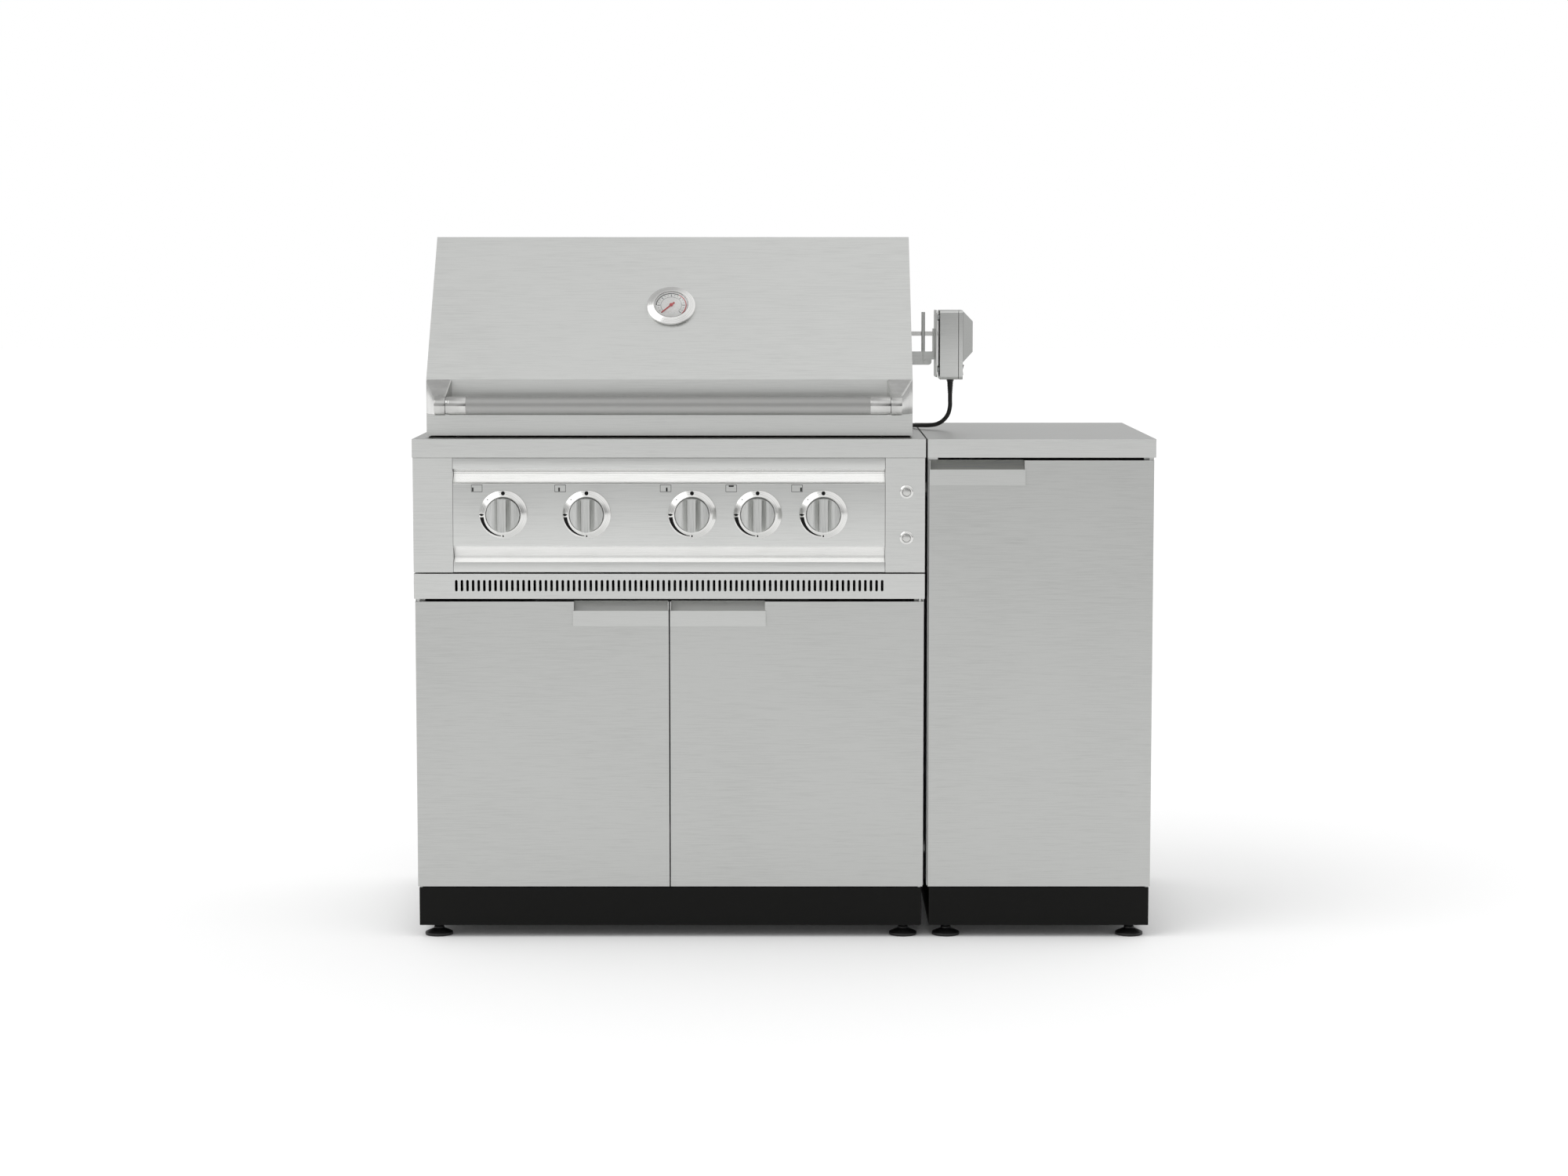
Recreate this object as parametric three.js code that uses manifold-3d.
// An outdoor kitchen island: a gas grill cabinet with a hinged hood and a rotisserie, and a
// storage cabinet with one door beside it, under one level stainless worktop.
// Millimetres, +Z up, the front faces -Y. The origin is on the ground under the middle of the whole.
// Inside the island group, Y counts from the front edge of the worktop, towards the back.

import * as THREE from 'three';
import { mergeVertices } from 'three/addons/utils/BufferGeometryUtils.js';
import Module from 'manifold-3d';

const wasm = await Module();
wasm.setup();

// Driving sizes of the whole
const counterHeight = 899;
const islandDepth = 610;
const grillWidth = 914.4;
const storeWidth = 406.4;
const moduleGap = 3.2;
const sheet = 1.5;
const seat = 0.3;
const overrun = 5;

// Counter, carcass, plinth and levelling feet
const counterEdge = 33;
const counterLip = 16;
const bodyInset = 1.2;
const carcassFront = 24;
const carcassBackInset = 3;
const carcassFlange = 18;
const plinthTop = 91;
const plinthBottom = 22;
const plinthInset = 4;
const plinthFront = 3;
const footRadius = 25;
const footPad = 6;
const footNeck = 9;
const footStem = 6;
const footInset = 36;
const footFrontInset = 32;
const floorRim = 15;
const spacerRadius = 12;
const spacerInset = 60;

// Doors and their pulls
const doorFront = 2;
const doorThickness = 20;
const doorSideInset = 2;
const doorFootGap = 2;
const doorMeetingGap = 2.4;
const doorSkin = 1.2;
const grillDoorTop = 608.5;
const storeDoorHeadGap = 5;
const pinRadius = 3;
const pinInset = 6;
const pinReach = 1.5;
const pullWidth = 171;
const pullDrop = 44;
const pullPlateHeight = 28;
const pullPlateProud = 3;
const pullPlateThickness = 2.5;
const pullPocketFoot = 3;
const drainWidth = 40;
const drainDepth = 6;

// Ventilation strip
const ventStripBottom = 613.8;
const ventStripTop = 658.5;
const slotCount = 77;
const slotPitch = 10;
const slotWidth = 4.6;
const slotLength = 20.4;
const slotRise = 1.2;

// Face panels and the control panel with its two pressed grooves
const faceFront = 1;
const facePanelBottom = 660.9;
const controlPanelWidth = 770;
const upperStrip = 19.7;
const upperLedge = 7.9;
const upperBevel = 19.3;
const upperGrooveDepth = 20;
const lowerStrip = 18.5;
const lowerLedge = 7.6;
const lowerBevel = 22;
const lowerGrooveDepth = 21;

// Knobs, their bezels and stems, and the two buttons
const knobHeight = 764.8;
const knobPlaces = [-295.1, -146.6, 41.1, 157.9, 275];
const knobRadius = 30;
const knobStand = 4;
const knobLength = 34;
const knobEase = 1.5;
const knobGripWidth = 14.8;
const knobRim = 10;
const knobHub = 9;
const knobHollow = 8;
const bezelRadius = 43;
const bezelBore = 31;
const bezelRim = 2;
const bezelRise = 9;
const stemRadius = 4;
const stemPush = 3.5;
const stemSeat = 16;
const buttonPlace = 423;
const buttonHeights = [805, 723];
const buttonRadius = 7.2;
const buttonRingWidth = 5;
const buttonRingRise = 3;
const buttonProud = 6;
const buttonLength = 16;

// Gas manifold, valves and burners
const manifoldRadius = 9;
const manifoldSetback = 46;
const valveWidth = 22;
const valveHeight = 30;
const riserRadius = 4;
const burnerCount = 4;
const burnerRadius = 12.5;
const burnerHeight = 800;
const burnerEndGap = 14;
const burnerFlare = 4;
const tentWidth = 76;
const tentRise = 28;
const tentEndGap = 12;
const tentLedge = 838;
const rearBurnerWidth = 500;
const rearBurnerDepth = 30;
const rearBurnerBottom = 950;
const rearBurnerHeight = 80;
const rearBurnerFrame = 10;
const rearBurnerBars = 9;
const rearBurnerBar = 4;

// Firebox, cooking grates and drip tray
const cutoutGap = 3;
const fireboxHalf = 412;
const fireboxFront = 66;
const fireboxDepth = 320.5;
const fireboxWallFoot = 700;
const hopperDrop = 60;
const drainHalf = 250;
const drainFront = 150;
const drainBack = 310;
const ledgeDepth = 13;
const grateLedge = 877;
const grateCount = 3;
const grateBars = 11;
const grateBar = 8;
const grateThickness = 12;
const grateCross = 8;
const grateGap = 3;
const wingThickness = 2;
const wingClearance = 2;
const wingFootAhead = 68;
const wingTopAhead = 30;
const wingTopBehind = 32;
const wingHeel = 6;
const rearWallTop = 1086;
const bumperRadius = 4;
const bumperPlaces = [-380, 380];
const bumperSetback = 58;
const trayHeight = 26;
const trayDrop = 36;
const trayRim = 14;
const trayOverlap = 16;
const railDrop = 16;

// Hood, hinge, handle and thermometer
const hoodHalf = 435;
const hoodFront = 46;
const hoodBack = 480;
const hoodGap = 4;
const hoodBandTop = 1003.5;
const hoodTop = 1258;
const hoodSlopeDepth = 220;
const hoodRoofDepth = 132;
const hoodShoulderDrop = 74;
const hoodTailDrop = 10;
const hoodHem = 12;
const hingeInset = 50;
const hingeHeight = 985;
const hingePinRadius = 5;
const hingeHeadRadius = 9;
const hingeHead = 3;
const hoodSwingGap = 1;
const spitSlotWidth = 15;
const spitSlotEndShare = 0.045;
const handleHeight = 959;
const handleSetback = -17.5;
const handleRadius = 16.5;
const bossRadius = 17;
const bossInner = 394;
const bossOuter = 414;
const bracketInner = 389;
const bracketFoot = 941;
const dialRadius = 44;
const dialBore = 30.5;
const dialRim = 5;
const dialRise = 9;
const dialFace = 5;
const probeRadius = 5;
const probeLength = 40;
const glassThickness = 1;
const needleLength = 24;
const needleTail = 8;
const needleWidth = 3;
const needleThickness = 1;
const needleHub = 3.2;
const needleRestTurn = 2.36;

// Rotisserie: spit, motor bracket and motor
const spitRearGap = 56.5;
const spitHeight = 1079;
const spitSide = 8;
const spitEnd = 492;
const notchGap = 0.7;
const forkPlaces = [-160, 160];
const forkCollar = 12;
const forkCollarLength = 22;
const forkSpread = 18;
const forkProng = 2.5;
const forkReach = 85;
const bracketPlateGap = 3;
const bracketPlate = 3;
const bracketPlateAhead = 45;
const bracketPlateBehind = 30;
const bracketFootWidth = 7;
const armTop = 1046;
const armFaceHeight = 15;
const armHeight = 25;
const armAhead = 15;
const armCorner = 6;
const armEnd = 486.5;
const armBoltPlace = 469.8;
const armBoltRadius = 5.2;
const armBoltLength = 4;
const tabThickness = 3.6;
const tabTop = 1088;
const tabDepth = 42;
const spitHole = 6.5;
const postPlace = 464.5;
const postRadius = 3.4;
const postTop = 1119.4;
const backPlateThickness = 3;
const backPlateBottom = 998.9;
const motorTop = 1122.8;
const motorBottom = 994.5;
const motorReach = 45;
const motorCorner = 6;
const motorBossLength = 4.4;
const motorBossRadius = 5;
const motorBossInset = 14;
const motorCaseWidth = 42.8;
const coverWidth = 18.8;
const coverTop = 1121;
const coverBottom = 1026.7;
const coverEdgeInset = 2;
const rockerHalfWidth = 10;
const rockerHeight = 22;
const rockerMiddle = 1011.5;
const rockerProud = 3.2;
const rockerDepth = 4;
const rockerPocket = 8;
const rockerTilt = 0.07;
const glandRadius = 6.7;
const glandLength = 4;
const reliefLength = 22;
const reliefRadius = 6;

// Mains cord: the free run, the coil put away behind the hood, and the plug
const cordRadius = 4;
const coilCentre = [330, 551];
const coilMiddleRadius = 41;
const coilTurnPitch = 10;
const coilLayerPitch = 9;
const coilTurnsIn = 2;
const coilTurnsClimb = 0.5;
const coilTurnsOut = 1.5;
const coilLoopSteps = 24;
const coilSides = 6;
const coilEndStraight = 8;
const tailLevel = 36;
const tailFall = 40;
const tailSteps = 4;
const cordSides = 8;
const cordStep = 18;
const plugLength = 42;
const plugWidth = 26;
const plugHeight = 19;
const plugNose = 16;
const bladeLength = 17;
const bladeWidth = 6.4;
const bladeThickness = 1.6;
const bladeSpread = 12.7;

// Storage cabinet shelf
const shelfHeight = 470;
const shelfLedge = 14;
const shelfFrontInset = 30;
const shelfEdge = 20;

// Sizes that follow from the driving sizes
const islandWidth = grillWidth + moduleGap + storeWidth;
const grillCentre = (grillWidth - islandWidth) / 2;
const storeCentre = (islandWidth - storeWidth) / 2;
const counterUnderside = counterHeight - counterEdge;
const carcassTop = counterUnderside - seat;
const carcassBack = islandDepth - carcassBackInset;
const knobFrontReach = knobStand + knobLength - faceFront;
const handleFrontReach = bossRadius - handleSetback;
const frontReach = Math.max(knobFrontReach, handleFrontReach);
const flangeTop = counterHeight + seat + sheet;
const hoodBottom = counterHeight + hoodGap;
const fireboxBack = fireboxFront + fireboxDepth;
const fireboxFoot = fireboxWallFoot - hopperDrop;
const trayTop = fireboxFoot - trayDrop;
const wingOuter = hoodHalf - sheet - wingClearance;
const hingeSetback = hoodBack - hingeInset;
const hoodTail = hingeHeight - hoodTailDrop;
const spitSetback = fireboxBack - spitRearGap;

// Finishes
const brushed = finish(0xbfc0be, 0.34, 1);
const brushedDark = finish(0x9a9b99, 0.4, 1);
const polished = finish(0xd6d7d6, 0.12, 1);
const castIron = finish(0x2c2c2b, 0.62, 0.6);
const blackPaint = finish(0x1e1e1c, 0.5, 0.1);
const rubber = finish(0x151515, 0.6, 0);
const brass = finish(0xb08d4c, 0.35, 1);
const zinc = finish(0xa6a8a8, 0.42, 1);
const redPaint = finish(0xc22026, 0.45, 0);
const clearGlass = finish(0xf4f8f8, 0.05, 0);

function finish(color, roughness, metalness) {
  return new THREE.MeshStandardMaterial({ color, roughness, metalness });
}

// A closed geometry as a solid, with its faces turned outwards
function solid(geometry) {
  const bare = geometry.clone();
  bare.deleteAttribute('normal');
  bare.deleteAttribute('uv');
  const merged = mergeVertices(bare);
  const corners = merged.index.array;
  const kept = [];
  for (let i = 0; i < corners.length; i += 3) {
    const [a, b, c] = corners.slice(i, i + 3);
    if (a !== b && b !== c && c !== a) kept.push(a, b, c);
  }
  const vertProperties = merged.attributes.position.array;
  const made = manifoldOf(vertProperties, kept);
  return made.volume() < 0 ? manifoldOf(vertProperties, kept.reverse()) : made;
}

function manifoldOf(vertProperties, corners) {
  const triVerts = new Uint32Array(corners);
  return new wasm.Manifold(new wasm.Mesh({ numProp: 3, vertProperties, triVerts }));
}

function geometryOf(body) {
  const mesh = body.getMesh();
  const geometry = new THREE.BufferGeometry();
  geometry.setAttribute('position', new THREE.BufferAttribute(mesh.vertProperties, 3));
  geometry.setIndex(new THREE.BufferAttribute(mesh.triVerts, 1));
  geometry.computeVertexNormals();
  return geometry;
}

function joined(...bodies) {
  return bodies.reduce((whole, body) => whole.add(body));
}

function cut(body, ...tools) {
  return tools.reduce((whole, tool) => whole.subtract(tool), body);
}

// A box between two planes along each axis
function block([x0, x1], [y0, y1], [z0, z1]) {
  const box = new THREE.BoxGeometry(x1 - x0, y1 - y0, z1 - z0);
  box.translate((x0 + x1) / 2, (y0 + y1) / 2, (z0 + z1) / 2);
  return solid(box);
}

const toX = new THREE.Vector3(1, 0, 0);
const toY = new THREE.Vector3(0, 1, 0);
const toZ = new THREE.Vector3(0, 0, 1);

function shapeOf(points) {
  return new THREE.Shape(points.map(([u, v]) => new THREE.Vector2(u, v)));
}

function extruded(shape, depth, curveSegments) {
  return new THREE.ExtrudeGeometry(shape, { depth, bevelEnabled: false, curveSegments });
}

// A (Y, Z) outline drawn out along X
function prismX(shape, low, high, curveSegments = 6) {
  const geometry = extruded(shape, high - low, curveSegments);
  geometry.applyMatrix4(new THREE.Matrix4().makeBasis(toY, toZ, toX));
  geometry.translate(low, 0, 0);
  return solid(geometry);
}

// An (X, Z) outline drawn out along Y
function prismY(shape, low, high, curveSegments = 6) {
  const geometry = extruded(shape, high - low, curveSegments);
  geometry.applyMatrix4(new THREE.Matrix4().makeBasis(toX, toZ, toY.clone().negate()));
  geometry.translate(0, high, 0);
  return solid(geometry);
}

// A round bar along X, Y or Z through a centre point, between two planes of that axis
function bar(axis, radius, low, high, centre = [0, 0], sides = 20) {
  const geometry = new THREE.CylinderGeometry(radius, radius, high - low, sides);
  const middle = (low + high) / 2;
  if (axis === 'x') geometry.rotateZ(Math.PI / 2).translate(middle, ...centre);
  if (axis === 'y') geometry.translate(centre[0], middle, centre[1]);
  if (axis === 'z') geometry.rotateX(Math.PI / 2).translate(...centre, middle);
  return solid(geometry);
}

// A profile of (radius, height) points turned about an axis that points to the front or up
function turned(profile, sides, towards) {
  const geometry = new THREE.LatheGeometry(profile.map(([r, h]) => new THREE.Vector2(r, h)), sides);
  if (towards === 'front') geometry.rotateX(Math.PI);
  if (towards === 'up') geometry.rotateX(Math.PI / 2);
  return solid(geometry);
}

// A block that tapers from one rectangle to another along its third axis, given as a basis
function tapered(lowRect, highRect, low, high, basis) {
  const corners = [[lowRect, low], [highRect, high]].flatMap(([[u0, u1, v0, v1], w]) => [
    [u0, v0, w], [u1, v0, w], [u1, v1, w], [u0, v1, w]
  ]);
  const geometry = new THREE.BufferGeometry();
  geometry.setAttribute('position', new THREE.Float32BufferAttribute(corners.flat(), 3));
  geometry.setIndex([
    0, 2, 1, 0, 3, 2, 4, 5, 6, 4, 6, 7, 0, 1, 5, 0, 5, 4,
    1, 2, 6, 1, 6, 5, 2, 3, 7, 2, 7, 6, 3, 0, 4, 3, 4, 7
  ]);
  geometry.applyMatrix4(new THREE.Matrix4().makeBasis(...basis));
  return solid(geometry);
}

// The outline of folded sheet: a path and the same path one thickness to its left
function folded(path, thickness) {
  const heading = (from, to) => {
    const length = Math.hypot(to[0] - from[0], to[1] - from[1]);
    return [(to[0] - from[0]) / length, (to[1] - from[1]) / length];
  };
  const other = path.map((point, i) => {
    const before = heading(path[Math.max(i - 1, 0)], path[Math.max(i, 1)]);
    const after = i < path.length - 1 ? heading(point, path[i + 1]) : before;
    const spread = 1 + before[0] * after[0] + before[1] * after[1];
    const left = [-(before[1] + after[1]) / spread, (before[0] + after[0]) / spread];
    return [point[0] + left[0] * thickness, point[1] + left[1] * thickness];
  });
  return shapeOf([...path, ...other.reverse()]);
}

function roundedRect([u0, u1], [v0, v1], radius) {
  const shape = new THREE.Shape();
  shape.moveTo(u0 + radius, v0);
  shape.lineTo(u1 - radius, v0);
  shape.absarc(u1 - radius, v0 + radius, radius, -Math.PI / 2, 0);
  shape.lineTo(u1, v1 - radius);
  shape.absarc(u1 - radius, v1 - radius, radius, 0, Math.PI / 2);
  shape.lineTo(u0 + radius, v1);
  shape.absarc(u0 + radius, v1 - radius, radius, Math.PI / 2, Math.PI);
  shape.lineTo(u0, v0 + radius);
  shape.absarc(u0 + radius, v0 + radius, radius, Math.PI, Math.PI * 3 / 2);
  return shape;
}

const island = new THREE.Group();
const grill = new THREE.Group();
const store = new THREE.Group();
island.position.set(0, (frontReach - islandDepth) / 2, 0);
grill.position.set(grillCentre, 0, 0);
store.position.set(storeCentre, 0, 0);
island.add(grill, store);

function place(parent, name, body, material, position = [0, 0, 0]) {
  const mesh = new THREE.Mesh(geometryOf(body), material);
  mesh.name = name;
  mesh.position.set(...position);
  parent.add(mesh);
  return mesh;
}

// Worktop of one cabinet: a pan upside down, with folded edges and a lip that rests on the carcass
function counter(width) {
  const half = width / 2;
  const outer = block([-half, half], [0, islandDepth], [counterUnderside, counterHeight]);
  const hollow = block(
    [sheet - half, half - sheet],
    [sheet, islandDepth - sheet],
    [counterUnderside + sheet, counterHeight - sheet]
  );
  const mouth = block(
    [counterLip - half, half - counterLip],
    [counterLip, islandDepth - counterLip],
    [counterUnderside - overrun, counterUnderside + overrun]
  );
  return cut(outer, hollow, mouth);
}

// One side panel of a carcass, folded at its front and back edges; side is -1 or 1
function sidePanel(half, side) {
  const inner = half - carcassFlange;
  const outline = folded([
    [side * inner, carcassFront],
    [side * half, carcassFront],
    [side * half, carcassBack],
    [side * inner, carcassBack]
  ], side * sheet);
  const geometry = extruded(outline, carcassTop - plinthTop - seat, 1);
  geometry.translate(0, 0, plinthTop + seat);
  return solid(geometry);
}

// Black plinth: a pan upside down on four levelling feet
function plinth(half) {
  const width = half - plinthInset;
  const back = carcassBack;
  const skirt = cut(
    block([-width, width], [plinthFront, back], [plinthBottom, plinthTop]),
    block(
      [sheet - width, width - sheet],
      [plinthFront + sheet, back - sheet],
      [plinthBottom - overrun, plinthTop - sheet]
    )
  );
  const foot = turned([
    [0, 0], [footRadius, 0], [footRadius, footPad], [footNeck, plinthBottom - footPad],
    [footStem, plinthBottom - footPad], [footStem, plinthTop - sheet / 2], [0, plinthTop - sheet / 2]
  ], 12, 'up');
  const acrossPlaces = [footInset - half, half - footInset];
  const deepPlaces = [footFrontInset, back - footFrontInset];
  const feet = acrossPlaces.flatMap((x) => deepPlaces.map((y) => foot.translate([x, y, 0])));
  return joined(skirt, ...feet);
}

// Floor between the side panels: a shallow pan upside down, its folded rim on the plinth
function floorPan(half) {
  const across = half - sheet - seat;
  const front = carcassFront + sheet + seat;
  const back = carcassBack - sheet * 2 - seat * 2;
  const low = plinthTop + seat;
  return cut(
    block([-across, across], [front, back], [low, low + floorRim]),
    block(
      [sheet - across, across - sheet],
      [front + sheet, back - sheet],
      [low - overrun, low + floorRim - sheet]
    )
  );
}

// Back panel inside the folded edges of the sides, with a row of ventilation slots low down
function backPanel(half, slots, slotHeight) {
  const across = half - sheet - seat;
  const shape = shapeOf([
    [-across, plinthTop + seat], [across, plinthTop + seat], [across, carcassTop], [-across, carcassTop]
  ]);
  slotHoles(shape, slots, slotHeight);
  return prismY(shape, carcassBack - sheet * 2 - seat, carcassBack - sheet - seat, 1);
}

// Punches a row of round-ended slots into an (X, Z) outline
function slotHoles(shape, count, middle) {
  for (let i = 0; i < count; i++) {
    const x = (i - (count - 1) / 2) * slotPitch;
    const half = slotWidth / 2;
    const reach = slotLength / 2 - half;
    const hole = new THREE.Path();
    hole.absarc(x, middle + reach, half, 0, Math.PI);
    hole.absarc(x, middle - reach, half, Math.PI, Math.PI * 2);
    shape.holes.push(hole);
  }
}

// A hollow door hung on two pins. side is the hinged side, pullSide the side of the pull.
function door(width, height, side, headReach, footReach) {
  const half = width / 2;
  const outer = block([-half, half], [0, doorThickness], [0, height]);
  const pullFar = -side * half;
  const pullNear = -side * (half - pullWidth);
  const pullSpan = [Math.min(pullFar, pullNear), Math.max(pullFar, pullNear)];
  const pullFoot = height - pullDrop;
  const core = cut(
    block(
      [doorSkin - half, half - doorSkin],
      [doorSkin, doorThickness - doorSkin],
      [doorSkin, height - doorSkin]
    ),
    block(
      [pullSpan[0] - doorSkin, pullSpan[1] + doorSkin],
      [-overrun, doorThickness + overrun],
      [pullFoot - doorSkin, height + overrun]
    )
  );
  const drain = block(
    [-drainWidth / 2, drainWidth / 2],
    [(doorThickness - drainDepth) / 2, (doorThickness + drainDepth) / 2],
    [-overrun, doorSkin + overrun]
  );
  const plateTop = pullFoot + pullPlateHeight;
  const pocket = prismX(shapeOf([
    [pullPlateThickness - pullPlateProud, height + overrun],
    [pullPlateThickness - pullPlateProud, pullFoot + sheet],
    [pullPlateThickness + pullPocketFoot, pullFoot + sheet],
    [doorThickness - sheet, height],
    [doorThickness - sheet, height + overrun]
  ]), pullSpan[0] + sheet, pullSpan[1] - sheet);
  const head = block(
    [pullSpan[0] + sheet, pullSpan[1] - sheet],
    [-overrun, pullPlateThickness],
    [plateTop, height + overrun]
  );
  const plate = block(pullSpan, [-pullPlateProud, sheet], [pullFoot, plateTop]);
  const pinPlace = [side * (half - pinInset), pinInset];
  const headPin = bar('z', pinRadius, height - pinReach, height + headReach, pinPlace, 16);
  const footPin = bar('z', pinRadius, -footReach, pinReach, pinPlace, 16);
  return cut(joined(outer, plate, headPin, footPin), core, drain, pocket, head);
}

// Hinge holes in the sheet above and below a door
function pinHole(x, low, high) {
  return bar('z', pinRadius + seat, low, high, [x, doorFront + pinInset], 16);
}

// Carcass of the grill cabinet
const grillHalf = grillWidth / 2 - bodyInset;
const grillDoorHalf = grillHalf - doorSideInset;
const grillPins = [-(grillDoorHalf - pinInset), grillDoorHalf - pinInset];
const doorFoot = plinthTop + doorFootGap;

const plinthHole = (x) => pinHole(x, plinthTop - overrun, plinthTop + overrun);
const grillPlinth = cut(plinth(grillHalf), ...grillPins.map(plinthHole));
place(grill, 'grill_plinth', grillPlinth, blackPaint);
place(grill, 'grill_side_left', sidePanel(grillHalf, -1), brushed);
place(grill, 'grill_side_right', sidePanel(grillHalf, 1), brushed);
place(grill, 'grill_floor', floorPan(grillHalf), brushedDark);
const backSlots = 12;
const backSlotHeight = plinthTop + floorRim + slotLength;
place(grill, 'grill_back', backPanel(grillHalf, backSlots, backSlotHeight), brushedDark);

// Worktop of the grill cabinet, with the cut-out for the firebox
const cutoutHalf = fireboxHalf + cutoutGap;
const grillCounter = cut(counter(grillWidth), block(
  [-cutoutHalf, cutoutHalf],
  [fireboxFront - cutoutGap, fireboxBack + cutoutGap],
  [counterHeight - sheet - overrun, counterHeight + overrun]
));
place(grill, 'grill_counter', grillCounter, brushed);

// Ventilation strip over the doors, a channel with punched slots
const stripShape = shapeOf([
  [-grillHalf, ventStripBottom], [grillHalf, ventStripBottom],
  [grillHalf, ventStripTop], [-grillHalf, ventStripTop]
]);
slotHoles(stripShape, slotCount, (ventStripBottom + ventStripTop) / 2 + slotRise);
const flangeBack = carcassFront - seat;
const ventStrip = cut(
  joined(
    prismY(stripShape, 0, sheet, 1),
    block([-grillHalf, grillHalf], [0, flangeBack], [ventStripTop - sheet, ventStripTop]),
    block([-grillHalf, grillHalf], [0, flangeBack], [ventStripBottom, ventStripBottom + sheet]),
    block([-grillHalf, sheet - grillHalf], [0, flangeBack], [ventStripBottom, ventStripTop]),
    block([grillHalf - sheet, grillHalf], [0, flangeBack], [ventStripBottom, ventStripTop])
  ),
  ...grillPins.map((x) => pinHole(x, ventStripBottom - overrun, ventStripBottom + overrun))
);
place(grill, 'vent_strip', ventStrip, brushed);

// Face panels beside the control panel
const panelHalf = controlPanelWidth / 2;
function facePanel(low, high) {
  return cut(
    block([low, high], [faceFront, flangeBack], [facePanelBottom, carcassTop]),
    block(
      [low + sheet, high - sheet],
      [faceFront + sheet, flangeBack + overrun],
      [facePanelBottom + sheet, carcassTop - sheet]
    )
  );
}
place(grill, 'face_panel_left', facePanel(-grillHalf, -panelHalf - seat), brushed);

const buttonRing = turned([
  [buttonRadius + seat, -sheet], [buttonRadius + buttonRingWidth, -sheet],
  [buttonRadius + buttonRingWidth, buttonRingRise / 2],
  [buttonRadius + buttonRingWidth / 2, buttonRingRise], [buttonRadius + seat, buttonRingRise],
  [buttonRadius + seat, -sheet]
], 16, 'front');
const facePanelRight = buttonHeights.reduce((panel, z) => {
  const hole = bar('y', buttonRadius + buttonRingWidth / 2, -overrun, carcassFront / 2, [buttonPlace, z], 16);
  return joined(cut(panel, hole), buttonRing.translate([buttonPlace, faceFront, z]));
}, facePanel(panelHalf + seat, grillHalf));
place(grill, 'face_panel_right', facePanelRight, brushed);

const button = turned([
  [0, buttonProud - buttonLength], [buttonRadius, buttonProud - buttonLength],
  [buttonRadius, buttonProud - sheet],
  [buttonRadius - sheet, buttonProud], [0, buttonProud]
], 16, 'front');
buttonHeights.forEach((z, i) => {
  place(grill, ['light_button', 'ignition_button'][i], button, polished, [buttonPlace, faceFront, z]);
});

// Control panel: one folded sheet with an upper and a lower groove, and the knob bezels on it
const panelTop = carcassTop;
const panelPath = [[flangeBack, panelTop], [faceFront, panelTop]];
const step = (depth, drop) => panelPath.push([faceFront + depth, panelPath.at(-1)[1] - drop]);
const upperEdge = panelTop - upperStrip;
const lowerEdge = facePanelBottom + lowerStrip;
const middleDrop = upperEdge - upperLedge - upperBevel - lowerEdge - lowerLedge - lowerBevel;
step(0, upperStrip);
step(upperGrooveDepth, upperLedge);
step(0, upperBevel);
step(0, middleDrop);
step(lowerGrooveDepth, lowerBevel);
step(0, lowerLedge);
step(0, lowerStrip);
panelPath.push([flangeBack, facePanelBottom]);
const bezel = turned([
  [bezelBore, -sheet / 2], [bezelRadius, -sheet / 2], [bezelRadius, bezelRim], [bezelBore + sheet, bezelRise],
  [bezelBore, bezelRise], [bezelBore, -sheet / 2]
], 22, 'front');
const controlPanel = knobPlaces.reduce((panel, x) => {
  const hole = bar('y', stemRadius + seat * 2, -overrun, overrun, [x, knobHeight], 12);
  return cut(joined(panel, bezel.translate([x, faceFront, knobHeight])), hole);
}, prismX(folded(panelPath, sheet), seat - panelHalf, panelHalf - seat));
place(grill, 'control_panel', controlPanel, brushed);

// Knob with a vertical grip bar, scooped flanks and a hollow back; its own frame starts at the panel
const knobBack = knobStand;
const knobFront = knobStand + knobLength;
const knobBody = turned([
  [stemRadius + seat, knobBack], [knobHub, knobBack], [knobHub, knobBack + knobHollow],
  [knobRadius - sheet * 2, knobBack + knobHollow], [knobRadius - sheet * 2, knobBack], [knobRadius, knobBack],
  [knobRadius, knobFront - knobEase], [knobRadius - knobEase, knobFront], [0, knobFront],
  [0, knobBack + stemSeat], [stemRadius + seat, knobBack + stemSeat], [stemRadius + seat, knobBack]
], 22, 'front');
const scoopReach = knobRadius - knobGripWidth / 2;
const scoopRise = knobLength - knobRim;
const scoop = (side) => {
  const shape = new THREE.Shape();
  shape.absellipse(side * knobRadius, -knobFront, scoopReach, scoopRise, 0, Math.PI * 2);
  const geometry = extruded(shape, knobRadius * 2 + overrun * 2, 9);
  return solid(geometry.translate(0, 0, -knobRadius - overrun));
};
const knob = cut(knobBody, scoop(-1), scoop(1));
const stem = bar('y', stemRadius, seat - knobStand - stemSeat, stemSeat, [0, 0], 12);
knobPlaces.forEach((x, i) => {
  place(grill, `knob_${i + 1}`, knob, polished, [x, faceFront, knobHeight]);
  place(grill, `valve_stem_${i + 1}`, stem, brass, [x, faceFront, knobHeight]);
});

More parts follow.
